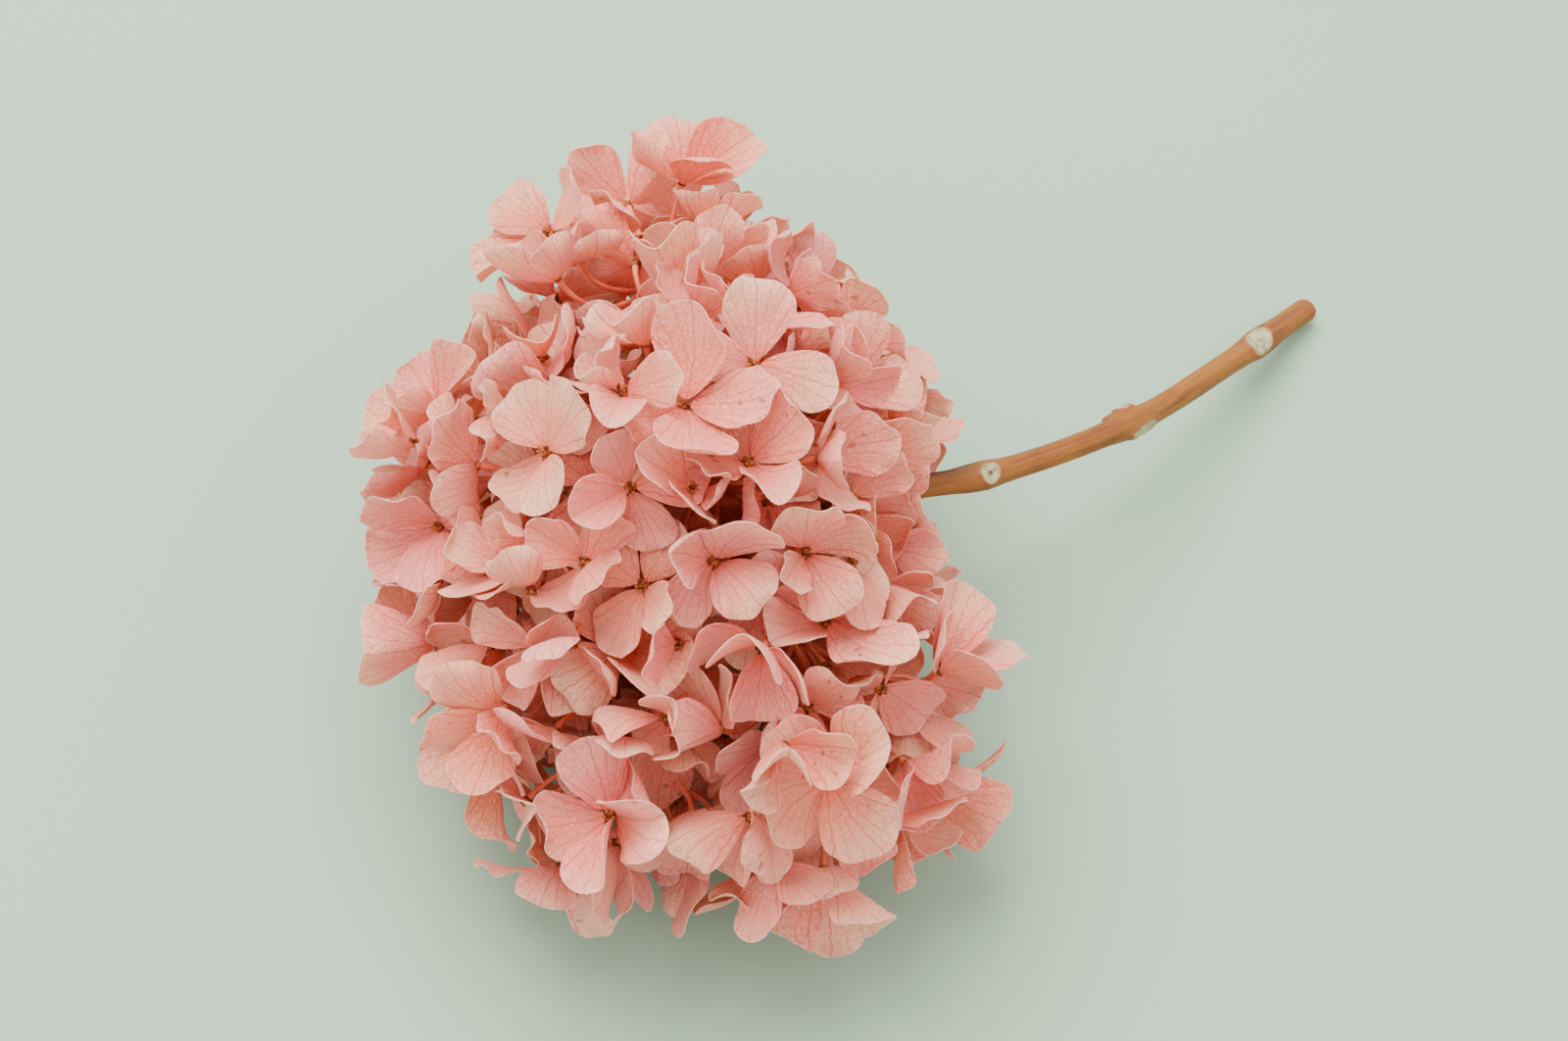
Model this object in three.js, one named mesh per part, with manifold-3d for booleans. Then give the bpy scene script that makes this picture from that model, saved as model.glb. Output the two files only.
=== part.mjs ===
// A cut hydrangea lying on its side: a woody stem, the rays that branch from its tip, and a mop-head of
// four-sepal florets. Millimetres, +Z up, the table at Z = 0. The stem points along +X and bends away
// towards +Y until its cut end rests on the table, and the head's crown faces -X.
import * as THREE from "three";
import { mergeVertices } from "three/addons/utils/BufferGeometryUtils.js";
import Module from "manifold-3d";

const wasm = await Module();
wasm.setup();

// ---------------------------------------------------------------- driving dimensions
const TOUCH_GAP = 0.3; // between pieces that meet

// The florets. A floret's reach is how far its sepals' tips are from its middle.
const FLORETS = 51;
const FLORET_REACH = 20;
const REACH_SPREAD = 2; // how much more or less a floret can reach
const CROWDING = 0.8; // share of their reaches that neighbours keep apart, so their sepals pass each other
const SEPAL_THICKNESS = 0.8;
const SEPAL_WIDTH = 18;
const SEPAL_SIDES = 7;
const PAIR_STEP = 1.5; // a floret has a lower and an upper pair of sepals, this far apart
const BUTTON_RADIUS = 2.3; // the bud in the floret's middle, where sepals and pedicel join
const PEDICEL_RADIUS = 0.6;
const PEDICEL_SIDES = 5;
const PEDICEL_STEPS = 2;
const PEDICEL_TESTS = 20; // points along a pedicel where its room is measured

// The head: its heart, and the lobes that the rays carry, each a dome with a middle and a radius. These
// are the sizes for florets of ORDINARY_REACH, and the head swells with its florets.
const ORDINARY_REACH = 20;
const HEAD_GROWTH = FLORET_REACH / ORDINARY_REACH;
const HEART = grown([0, -4, 50]);
const LOBES = {
  back: { middle: grown([-10, 62, 56]), radius: 26 * HEAD_GROWTH },
  right: { middle: grown([21, 30, 54]), radius: 30 * HEAD_GROWTH },
  left: { middle: grown([-36, 14, 48]), radius: 29 * HEAD_GROWTH },
  top: { middle: grown([2, 0, 72]), radius: 40 * HEAD_GROWTH },
  crown: { middle: grown([-24, -30, 42]), radius: 33 * HEAD_GROWTH },
  front_left: { middle: grown([-12, -55, 34]), radius: 27 * HEAD_GROWTH },
  front_right: { middle: grown([30, -47, 40]), radius: 33 * HEAD_GROWTH },
  under: { middle: grown([2, -2, 38]), radius: 40 * HEAD_GROWTH },
};
const CLEFT_SHARPNESS = 12; // how crisply the lobes meet
const FLORET_INSET = 6.5; // the florets' middles lie this far under the head's outline
const TABLE_BEND = 6; // what would hang lower than this bends along the table
const UPTURN = 0.35; // how far the leading florets turn up towards the light

// The florets that give the head its face: roughly where each sits, its turn in degrees and its reach.
const LEADING_FLORETS = [
  { at: [3, -6, 106], turn: 0, reach: 22 },
  { at: [-28, -9, 84], turn: 20, reach: 21 },
  { at: [30, -32, 66], turn: 45, reach: 21 },
  { at: [-14, -69, 50], turn: 10, reach: 21 },
  { at: [27, -66, 58], turn: 30, reach: 20 },
  { at: [34, -78, 32], turn: 5, reach: 20 },
  { at: [-28, 66, 68], turn: 35, reach: 18 },
  { at: [-3, 78, 70], turn: 15, reach: 20 },
  { at: [-11, 50, 74], turn: 40, reach: 20 },
  { at: [16, 50, 70], turn: 10, reach: 20 },
  { at: [40, 22, 72], turn: 30, reach: 19 },
  { at: [45, -5, 54], turn: 0, reach: 18 },
  { at: [54, -40, 52], turn: 20, reach: 20 },
  { at: [-10, -44, 66], turn: 35, reach: 20 },
  { at: [-58, -8, 52], turn: 25, reach: 18 },
  { at: [10, -32, 84], turn: 50, reach: 19 },
  { at: [-34, 26, 76], turn: 5, reach: 20 },
];

// The stem, from its tip in the head to its cut end on the table.
const STEM_REACH = 150; // over the table
const STEM_RADIUS = 2.5; // at its tip
const STEM_CUT_RADIUS = 2.9; // at the cut end
const STEM_TIP = grown([24, 2, 52]);
// Where its line runs: shares of the reach towards +X and +Y, and a share of the tip's height.
const STEM_LINE = [
  [0, 0, 1],
  [0.12, 0.033, 0.96],
  [0.273, 0.087, 0.82],
  [0.5, 0.235, 0.52],
  [0.68, 0.41, 0.22],
  [0.827, 0.56, 0],
];
const LEAF_NODES = [0.27, 0.55, 0.87]; // shares of its length where leaves have dropped
const NODE_SWELLING = 0.75; // how far a leaf node stands proud of the stem
const NODE_LENGTH = 5;
const STEM_SIDES = 10;
const STEM_STEPS = 36;
const STEM_CLEARING = 25; // no floret's middle is nearer than this to where the stem leaves the head

// The rays: short branches from the stem's tip, one to each lobe.
const RAY_RADIUS = 1.25; // at the stem
const RAY_END_RADIUS = 1; // in the lobe
const RAY_RISE = 9; // a ray runs on in line with the stem for this far before it bends to its lobe
const RAY_REACH = 0.9; // share of the way to its lobe's middle that it grows
const RAY_SIDES = 6;
const RAY_STEPS = 5;

// ---------------------------------------------------------------- small helpers
/** A place in a head that has grown with its florets: it swells from the middle of the table. */
function grown(place) {
  return new THREE.Vector3(...place).multiplyScalar(HEAD_GROWTH);
}

const mix = THREE.MathUtils.lerp;
const UP = new THREE.Vector3(0, 0, 1);

/** A value from -1 to 1 that differs for each floret and each of its traits. */
function vary(floretNumber, trait) {
  const many = Math.sin(floretNumber * 12.9898 + trait * 78.233) * 43758.5453;
  return 2 * (many - Math.floor(many)) - 1;
}

/** Moves every vertex of a geometry: place(v) changes v. */
function reshape(geometry, place) {
  const { position } = geometry.attributes;
  const v = new THREE.Vector3();
  for (let i = 0; i < position.count; i++) {
    place(v.fromBufferAttribute(position, i));
    position.setXYZ(i, v.x, v.y, v.z);
  }
  return geometry;
}

/** Bends what hangs under TABLE_BEND so that nothing reaches through the table. */
function settle(geometry) {
  return reshape(geometry, (v) => {
    if (v.z < TABLE_BEND) v.z = TABLE_BEND * Math.exp((v.z - TABLE_BEND) / TABLE_BEND);
  });
}

/** A geometry as a manifold-3d solid. */
function solid(geometry) {
  const bare = geometry.index ? geometry.toNonIndexed() : geometry;
  for (const name of ["normal", "uv"]) bare.deleteAttribute(name);
  const merged = mergeVertices(bare, 1e-4);
  const vertProperties = new Float32Array(merged.attributes.position.array);
  const triVerts = new Uint32Array(merged.index.array);
  return new wasm.Manifold(new wasm.Mesh({ numProp: 3, vertProperties, triVerts }));
}

/** A manifold-3d solid as a geometry. */
function geometryOf(made) {
  const { vertProperties, triVerts } = made.getMesh();
  return new THREE.BufferGeometry()
    .setAttribute("position", new THREE.BufferAttribute(vertProperties, 3))
    .setIndex(new THREE.BufferAttribute(triVerts, 1));
}

/** A solid that others keep clear of, with its box for quick tests. */
const obstacle = (made) => ({ solid: made, box: made.boundingBox() });

/** Whether a solid is clear of every obstacle. */
function isClear(made, obstacles) {
  const { min, max } = made.boundingBox();
  const near = ({ box }) => [0, 1, 2].every((i) => min[i] <= box.max[i] && box.min[i] <= max[i]);
  return !obstacles.some((other) => near(other) && made.intersect(other.solid).volume() > 0);
}

/** A closed round limb along a curve, of radiusAt(share of its length). */
function limb(curve, radiusAt, sides, steps) {
  const frames = curve.computeFrenetFrames(steps, false);
  const middles = curve.getSpacedPoints(steps);
  return reshape(new THREE.CylinderGeometry(1, 1, 1, sides, steps), (v) => {
    const step = Math.round((0.5 - v.y) * steps);
    const radius = radiusAt(step / steps);
    const [across, over] = [v.x * radius, v.z * radius];
    v.copy(middles[step]).addScaledVector(frames.normals[step], across);
    v.addScaledVector(frames.binormals[step], over);
  });
}

// ---------------------------------------------------------------- the head's outline
const lobes = Object.entries(LOBES).map(([name, lobe]) => ({ name, ...lobe }));

/** How far a lobe's dome reaches from the heart along a direction. */
function lobeReach({ middle, radius }, direction) {
  const offset = middle.clone().sub(HEART);
  const along = offset.dot(direction);
  const room = along * along - offset.lengthSq() + radius * radius;
  return room > 0 ? Math.max(along + Math.sqrt(room), 0) : 0;
}

/** The seat on the head in a direction from its heart: its place, the way it faces, and its lobe. */
function seatTowards(direction) {
  const reaches = lobes.map((lobe) => lobeReach(lobe, direction));
  const outline = reaches.reduce((sum, r) => sum + r ** CLEFT_SHARPNESS, 0) ** (1 / CLEFT_SHARPNESS);
  const place = HEART.clone().addScaledVector(direction, outline - FLORET_INSET);
  const facing = new THREE.Vector3();
  lobes.forEach(({ middle, radius }, i) => {
    const share = (reaches[i] / outline) ** CLEFT_SHARPNESS;
    facing.addScaledVector(place.clone().sub(middle), share / radius);
  });
  return { place, facing: facing.normalize(), lobe: reaches.indexOf(Math.max(...reaches)) };
}

// ---------------------------------------------------------------- where the florets sit
/** The leading florets, then fillers spread by the golden angle over the rest of the head. */
function firstFlorets() {
  const florets = LEADING_FLORETS.map(({ at, turn, reach }) => ({
    direction: grown(at).sub(HEART).normalize(),
    turn: THREE.MathUtils.degToRad(turn),
    reach: reach * HEAD_GROWTH,
    leading: true,
  }));
  const GOLDEN_ANGLE = Math.PI * (3 - Math.sqrt(5));
  const HIGHEST = 0.45; // most of the free room is on the lower half
  const fillers = FLORETS - florets.length;
  for (let i = 0; i < fillers; i++) {
    const height = mix(HIGHEST, -1, (i + 0.5) / fillers);
    const flat = Math.sqrt(1 - height * height);
    const round = i * GOLDEN_ANGLE;
    florets.push({
      direction: new THREE.Vector3(flat * Math.cos(round), flat * Math.sin(round), height),
      turn: Math.PI * vary(i, 1),
      reach: FLORET_REACH + REACH_SPREAD * (vary(i, 2) - 0.4),
    });
  }
  return florets;
}

/** Eases crowded florets apart over the head, and away from where the stem leaves it. */
function seatFlorets(stemExit) {
  const ROUNDS = 300;
  const [LEADING_EASE, EASE] = [0.004, 0.28]; // the leading florets hardly move
  const florets = firstFlorets();
  for (let round = 0; round < ROUNDS; round++) {
    const places = florets.map(({ direction }) => seatTowards(direction).place);
    florets.forEach((floret, i) => {
      const push = new THREE.Vector3();
      const giveWay = (place, wanted) => {
        const apart = places[i].clone().sub(place);
        const short = wanted - apart.length();
        if (short > 0) push.addScaledVector(apart.normalize(), short);
      };
      florets.forEach((other, j) => {
        if (i !== j) giveWay(places[j], CROWDING * (floret.reach + other.reach));
      });
      giveWay(stemExit, STEM_CLEARING);
      const eased = places[i].clone().addScaledVector(push, floret.leading ? LEADING_EASE : EASE);
      floret.next = eased.sub(HEART).normalize();
    });
    for (const floret of florets) floret.direction = floret.next;
  }
  return florets.map(({ direction, turn, reach, leading }, i) => {
    const seat = seatTowards(direction);
    if (leading) seat.facing.addScaledVector(UP, UPTURN).normalize();
    return { number: i + 1, turn, reach, ...seat };
  });
}

// ---------------------------------------------------------------- stem and rays
const stemPoints = STEM_LINE.map(([x, y, height]) => {
  const z = mix(STEM_CUT_RADIUS, STEM_TIP.z, height);
  return new THREE.Vector3(STEM_TIP.x + x * STEM_REACH, STEM_TIP.y + y * STEM_REACH, z);
});
const stemCurve = new THREE.CatmullRomCurve3(stemPoints, false, "centripetal");
const stemAim = stemCurve.getTangentAt(0).negate();

function stemGeometry() {
  const length = stemCurve.getLength();
  const swellingAt = (share, node) => Math.exp(-((((share - node) * length) / NODE_LENGTH) ** 2));
  const radiusAt = (share) => {
    const swelling = Math.max(...LEAF_NODES.map((node) => swellingAt(share, node)));
    return mix(STEM_RADIUS, STEM_CUT_RADIUS, share) + NODE_SWELLING * swelling;
  };
  return limb(stemCurve, radiusAt, STEM_SIDES, STEM_STEPS);
}

/** The rays' middle lines: one from the middle of the stem's tip and the rest in a ring round it. */
function rayCurves() {
  const across = new THREE.Vector3().crossVectors(stemAim, UP).normalize();
  const over = new THREE.Vector3().crossVectors(across, stemAim);
  const wayTo = ({ middle }) => middle.clone().sub(STEM_TIP).normalize();
  const around = (lobe) => Math.atan2(wayTo(lobe).dot(over), wayTo(lobe).dot(across));
  const byStraightness = [...lobes].sort((a, b) => wayTo(b).dot(stemAim) - wayTo(a).dot(stemAim));
  const straightest = byStraightness[0];
  const ring = byStraightness.slice(1).sort((a, b) => around(a) - around(b));
  const step = (2 * Math.PI) / ring.length;
  const ringRadius = (RAY_RADIUS + TOUCH_GAP / 2) / Math.sin(step / 2);
  const first = ring.reduce((sum, lobe, i) => sum + around(lobe) - i * step, 0) / ring.length;
  return lobes.map((lobe) => {
    const foot = STEM_TIP.clone().addScaledVector(stemAim, TOUCH_GAP);
    if (lobe !== straightest) {
      const angle = first + ring.indexOf(lobe) * step;
      foot.addScaledVector(across, ringRadius * Math.cos(angle));
      foot.addScaledVector(over, ringRadius * Math.sin(angle));
    }
    const end = foot.clone().lerp(lobe.middle, RAY_REACH);
    return new THREE.QuadraticBezierCurve3(foot, foot.clone().addScaledVector(stemAim, RAY_RISE), end);
  });
}

const rayRadiusAt = (share) => mix(RAY_RADIUS, RAY_END_RADIUS, share);

// ---------------------------------------------------------------- a floret's pedicel
/** A pedicel's middle line: straight in from under its floret, then over to its foot on the ray. */
function pedicelCurve({ place, facing }, foot) {
  const neck = place.clone().addScaledVector(facing, -0.5 * place.distanceTo(foot));
  return new THREE.QuadraticBezierCurve3(place, neck, foot);
}

/** The places round a ray where a floret's pedicel could stand, with the slant that each gives it. */
function* footholds({ place }, ray) {
  const TRIES = 12;
  const [LOWEST, HIGHEST] = [0.35, 0.98];
  const TURNS = [0, -Math.PI / 4, Math.PI / 4];
  for (let i = 0; i <= TRIES; i++) {
    const share = mix(LOWEST, HIGHEST, i / TRIES);
    const along = ray.getTangentAt(share);
    const way = place.clone().sub(ray.getPointAt(share)).normalize();
    const slant = way.dot(along);
    const out = way.clone().addScaledVector(along, -slant).normalize();
    for (const turn of TURNS) {
      const stand = out.clone().applyAxisAngle(along, turn);
      const heel = PEDICEL_RADIUS * Math.sin(way.angleTo(stand)); // a slanting foot turns its edge to the ray
      stand.multiplyScalar(rayRadiusAt(share) + heel + TOUCH_GAP);
      yield { foot: ray.getPointAt(share).add(stand), slant, turn };
    }
  }
}

/** The pedicel from a floret to its ray: the roomiest and neatest that is clear of every obstacle. */
function growPedicel(floret, ray, others, obstacles) {
  const SLANT = 0.5; // how much of the pedicel's way runs along its ray
  const ROOM = 3; // pedicels further apart than this don't crowd
  const NEATNESS = 0.125; // how much a good slant counts against room
  const choices = [...footholds(floret, ray)].map(({ foot, slant, turn }) => {
    const curve = pedicelCurve(floret, foot);
    const points = curve.getPoints(PEDICEL_TESTS);
    const gaps = points.flatMap((point) => others.map((other) => other.distanceTo(point)));
    const strain = Math.abs(slant - SLANT) + Math.abs(turn);
    return { curve, points, score: Math.min(ROOM, ...gaps) / ROOM - NEATNESS * strain };
  });
  choices.sort((a, b) => b.score - a.score);
  const grow = (curve, spare) => {
    return solid(settle(limb(curve, () => PEDICEL_RADIUS + spare, PEDICEL_SIDES, PEDICEL_STEPS)));
  };
  const chosen = choices.find(({ curve }) => isClear(grow(curve, TOUCH_GAP / 2), obstacles)) ?? choices[0];
  others.push(...chosen.points);
  return grow(chosen.curve, 0);
}

// ---------------------------------------------------------------- a floret's sepals
/** Sepal k of a floret, with spare room all round it. It is broadest near its tip, lifted and cupped. */
function sepalSolid({ number, reach, turn, seat }, k, { size, lift, spare }) {
  const [BASE_WIDTH, TIP_WIDTH] = [0.55, 1.1];
  const tip = (size * reach * (0.96 + 0.04 * vary(number, 7 + k))) / Math.hypot(1, lift);
  const halfWidth = (size * Math.min(SEPAL_WIDTH, 0.9 * reach)) / 2;
  const arch = 0.2 * (1 + vary(number, 11 + k));
  const cup = 0.07 + 0.05 * vary(number, 15 + k);
  const thickness = SEPAL_THICKNESS + 2 * spare;
  const sepal = new THREE.CylinderGeometry(1, 1, thickness, SEPAL_SIDES, 1, false, Math.PI);
  reshape(sepal, (v) => {
    const share = (1 + v.z) / 2; // 0 at the button and 1 at the tip
    const across = v.x * (halfWidth + spare) * mix(BASE_WIDTH, TIP_WIDTH, share);
    const inside = 1 - v.x * v.x - v.z * v.z; // 1 in the middle of the sepal and 0 at its rim
    const height = share * lift + share * (1 - share) * arch - inside * cup;
    v.set(mix(BUTTON_RADIUS / 3, tip + spare, share), across, height * tip + v.y);
  });
  sepal.rotateZ(turn + (k * Math.PI) / 2 + 0.12 * vary(number, 19 + k));
  sepal.translate(0, 0, k % 2 ? PAIR_STEP / 2 : -PAIR_STEP / 2);
  return solid(settle(sepal.applyMatrix4(seat)));
}

/** Grows sepal k at its own lift, or leans and shortens it until there is a clear gap all round. */
function growSepal(floret, k, obstacles) {
  const SIZES = [1, 0.92, 0.84, 0.76, 0.68, 0.6, 0.5, 0.4];
  const LEANS = [0, 0.25, -0.25, 0.5, -0.5, 0.75];
  const ownLift = 0.3 + 0.16 * vary(floret.number, 3 + k);
  for (const size of SIZES) {
    for (const lean of LEANS) {
      const shape = { size, lift: ownLift + lean };
      if (isClear(sepalSolid(floret, k, { ...shape, spare: TOUCH_GAP }), obstacles)) {
        return sepalSolid(floret, k, { ...shape, spare: 0 });
      }
    }
  }
  return null;
}

// ---------------------------------------------------------------- the hydrangea
const bark = new THREE.MeshStandardMaterial({ color: 0xb9803e, roughness: 0.7, metalness: 0 });
const stalkSkin = new THREE.MeshStandardMaterial({ color: 0xd98a72, roughness: 0.7, metalness: 0 });
const sepalSkin = new THREE.MeshStandardMaterial({ color: 0xe2a596, roughness: 0.8, metalness: 0 });

const hydrangea = new THREE.Group();

function addMesh(name, geometry, material) {
  const mesh = new THREE.Mesh(geometry, material);
  mesh.name = name;
  hydrangea.add(mesh);
}

addMesh("stem", stemGeometry(), bark);
const rays = rayCurves();
rays.forEach((ray, i) => {
  addMesh(`ray_${lobes[i].name}`, limb(ray, rayRadiusAt, RAY_SIDES, RAY_STEPS), stalkSkin);
});

// Every floret first gets its button and pedicel, and then its sepals fill the room that is left.
const stemExit = seatTowards(stemPoints[1].clone().sub(HEART).normalize()).place;
const florets = seatFlorets(stemExit);
const obstacles = hydrangea.children.map(({ geometry }) => obstacle(solid(geometry)));
const pedicelPoints = [];
for (const floret of florets) {
  const turned = new THREE.Quaternion().setFromUnitVectors(UP, floret.facing);
  floret.seat = new THREE.Matrix4().compose(floret.place, turned, new THREE.Vector3(1, 1, 1));
  const button = new THREE.IcosahedronGeometry(BUTTON_RADIUS).applyMatrix4(floret.seat);
  const pedicel = growPedicel(floret, rays[floret.lobe], pedicelPoints, obstacles);
  floret.core = obstacle(solid(settle(button)).add(pedicel));
  obstacles.push(floret.core);
}
for (const floret of florets) {
  const others = obstacles.filter((other) => other !== floret.core);
  const sepals = [0, 1, 2, 3].map((k) => growSepal(floret, k, others)).filter(Boolean);
  obstacles.push(...sepals.map(obstacle));
  const whole = sepals.reduce((made, sepal) => made.add(sepal), floret.core.solid);
  addMesh(`floret_${String(floret.number).padStart(2, "0")}`, geometryOf(whole), sepalSkin);
}

// The origin is under the middle of the whole flower, on the table.
const box = new THREE.Box3().setFromObject(hydrangea);
const middle = box.getCenter(new THREE.Vector3());
hydrangea.position.set(-middle.x, -middle.y, -box.min.z);

export default hydrangea;
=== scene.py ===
# %% [markdown]
# # A cut hydrangea
#
# A mop-head hydrangea that was cut, dried and laid on a table. The CAD model says where its stem, its
# rays and fifty-one of its florets are. This lesson grows the real surfaces on that frame: papery sepals
# with veins, small brown buttons, thin stalks and a woody stem with leaf scars.

# %% Load the frame
import math
import random

import bmesh
import bpy
import numpy as np
from mathutils import Matrix, Quaternion, Vector
from mathutils.bvhtree import BVHTree


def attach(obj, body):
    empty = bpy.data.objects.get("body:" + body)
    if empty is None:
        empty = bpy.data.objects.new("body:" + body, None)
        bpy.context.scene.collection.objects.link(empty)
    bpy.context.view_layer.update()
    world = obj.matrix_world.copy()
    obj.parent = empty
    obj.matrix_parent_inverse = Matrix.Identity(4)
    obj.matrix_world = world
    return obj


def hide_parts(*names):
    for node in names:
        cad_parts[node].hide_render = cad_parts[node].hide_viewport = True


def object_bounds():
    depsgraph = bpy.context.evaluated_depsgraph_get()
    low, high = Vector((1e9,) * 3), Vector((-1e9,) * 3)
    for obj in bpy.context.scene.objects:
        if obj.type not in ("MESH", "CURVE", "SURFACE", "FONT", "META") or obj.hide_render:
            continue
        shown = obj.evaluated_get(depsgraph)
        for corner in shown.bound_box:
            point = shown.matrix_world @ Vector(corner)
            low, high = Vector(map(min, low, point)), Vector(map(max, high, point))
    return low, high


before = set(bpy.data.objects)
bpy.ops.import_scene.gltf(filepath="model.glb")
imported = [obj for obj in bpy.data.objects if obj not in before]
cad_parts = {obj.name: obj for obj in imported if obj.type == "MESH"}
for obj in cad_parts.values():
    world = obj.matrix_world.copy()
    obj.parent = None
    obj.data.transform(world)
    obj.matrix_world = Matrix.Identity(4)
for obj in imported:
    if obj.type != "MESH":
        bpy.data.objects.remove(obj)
CAD_BOX = [list(corner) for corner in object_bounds()]
MM = 0.001
random_source = random.Random(17)
print("the CAD box in millimetres:", [[round(v / MM, 1) for v in corner] for corner in CAD_BOX])

# %% [markdown]
# ## The table, the light and the camera
#
# The flower lies on a pale table under one large soft lamp, as in a product studio. A lamp that is big
# compared with the flower gives shadows with soft edges, and a pale world fills them. The table could be
# a curved backdrop, but the camera looks steeply down, so a plain flat sheet fills the view.

# %% Camera
CAMERA_HEIGHT_ANGLE = math.radians(60)
CAMERA_DISTANCE = 0.65
CAMERA_LENS = 70
middle = sum((Vector(corner) for corner in CAD_BOX), Vector()) / 2
LOOK_SHIFT = Vector((-0.0195, -0.0025, -0.0083))  # from the middle of the whole towards the head
look_point = middle + LOOK_SHIFT
backward = Vector((0, -math.cos(CAMERA_HEIGHT_ANGLE), math.sin(CAMERA_HEIGHT_ANGLE)))


def aim(thing, place, target):
    """Puts a camera or lamp at a place and turns it to a target."""
    thing.location = place
    thing.rotation_euler = (target - place).to_track_quat("-Z", "Y").to_euler()


camera_data = bpy.data.cameras.new("camera")
camera_data.lens = CAMERA_LENS
camera = bpy.data.objects.new("camera", camera_data)
bpy.context.scene.collection.objects.link(camera)
aim(camera, look_point + backward * CAMERA_DISTANCE, look_point)
bpy.context.scene.camera = camera
print("camera at", [round(v, 3) for v in camera.location])


# %% Lamps
def add_lamp(name, place, size, watts, colour):
    """A square soft lamp that points at the flower."""
    lamp_data = bpy.data.lights.new(name, "AREA")
    lamp_data.size = size
    lamp_data.energy = watts
    lamp_data.color = colour
    lamp = bpy.data.objects.new(name, lamp_data)
    bpy.context.scene.collection.objects.link(lamp)
    aim(lamp, Vector(place), look_point)


add_lamp("overhead_lamp", (-0.25, 0.45, 1.2), size=1.0, watts=35, colour=(1.0, 0.99, 0.96))
world = bpy.data.worlds.new("studio")
world.use_nodes = True
sky = world.node_tree.nodes["Background"]
sky.inputs["Color"].default_value = (0.92, 0.95, 0.92, 1)
sky.inputs["Strength"].default_value = 2.15
bpy.context.scene.world = world
print("one lamp and a pale world")

# %% [markdown]
# ## Making finishes from nodes
#
# Each finish is a node tree that ends in a Principled shader. A small helper adds a node and wires its
# inputs in one call, so that a finish reads as a short recipe. Colours are written as screen values from
# 0 to 255 and turned into the linear values that the shader wants.


# %% A helper for finishes
def linear(red, green, blue):
    """A screen colour as the linear colour that shaders use."""

    def channel(value):
        value /= 255
        return value / 12.92 if value <= 0.04045 else ((value + 0.055) / 1.055) ** 2.4

    return (channel(red), channel(green), channel(blue), 1.0)


class Finish:
    """A material in the making. Every method adds one node and gives back its output."""

    def __init__(self, name):
        self.material = bpy.data.materials.new(name)
        self.material.use_nodes = True
        self.tree = self.material.node_tree
        self.shader = self.tree.nodes["Principled BSDF"]

    def node(self, kind, inputs=(), output=0, **settings):
        made = self.tree.nodes.new("ShaderNode" + kind)
        for key, value in settings.items():
            setattr(made, key, value)
        for key, value in dict(inputs).items():
            self.feed(made.inputs[key], value)
        return made.outputs[output]

    def feed(self, socket, value):
        if isinstance(value, bpy.types.NodeSocket):
            self.tree.links.new(value, socket)
        else:
            socket.default_value = value

    def math(self, operation, a, b=0.0):
        return self.node("Math", {0: a, 1: b}, operation=operation)

    def inverse(self, share):
        return self.math("SUBTRACT", 1.0, share)

    def step(self, value, start, end):
        """0 below start and 1 above end, with a soft slope between."""
        inputs = {"Value": value, "From Min": start, "From Max": end}
        return self.node("MapRange", inputs, interpolation_type="SMOOTHSTEP")

    def blend(self, share, below, above):
        """The colour below where share is 0 and the one above where it is 1."""
        made = self.tree.nodes.new("ShaderNodeMix")
        made.data_type = "RGBA"
        self.feed(made.inputs[0], share)
        self.feed(made.inputs[6], below)
        self.feed(made.inputs[7], above)
        return made.outputs[2]

    def stain(self, colour, share, strength, tone):
        """A colour with a tone laid over it at a strength where share is 1."""
        return self.blend(self.math("MULTIPLY", share, strength), colour, linear(*tone))

    def attribute(self, name):
        return self.node("Attribute", output="Fac", attribute_name=name)

    def noise(self, vector, scale, detail):
        return self.node("TexNoise", {"Vector": vector, "Scale": scale, "Detail": detail})

    def place(self):
        return self.node("TexCoord", output="Object")

    def bump(self, height, strength, distance):
        inputs = {"Height": height, "Strength": strength, "Distance": distance}
        self.feed(self.shader.inputs["Normal"], self.node("Bump", inputs))

    def set(self, **values):
        """Feeds the shader's own sockets, whose names have spaces for the underscores."""
        for key, value in values.items():
            self.feed(self.shader.inputs[key.replace("_", " ")], value)


# %% The table
table_finish = Finish("table")
table_finish.set(Base_Color=linear(143, 166, 144), Roughness=0.55, Specular_IOR_Level=0.3)
TABLE_HALF = 2.5
table_mesh = bmesh.new()
bmesh.ops.create_grid(table_mesh, x_segments=1, y_segments=1, size=TABLE_HALF)
table_data = bpy.data.meshes.new("table")
table_mesh.to_mesh(table_data)
table_mesh.free()
table_data.materials.append(table_finish.material)
table = bpy.data.objects.new("table", table_data)
bpy.context.scene.collection.objects.link(table)
print("table laid")
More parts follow.
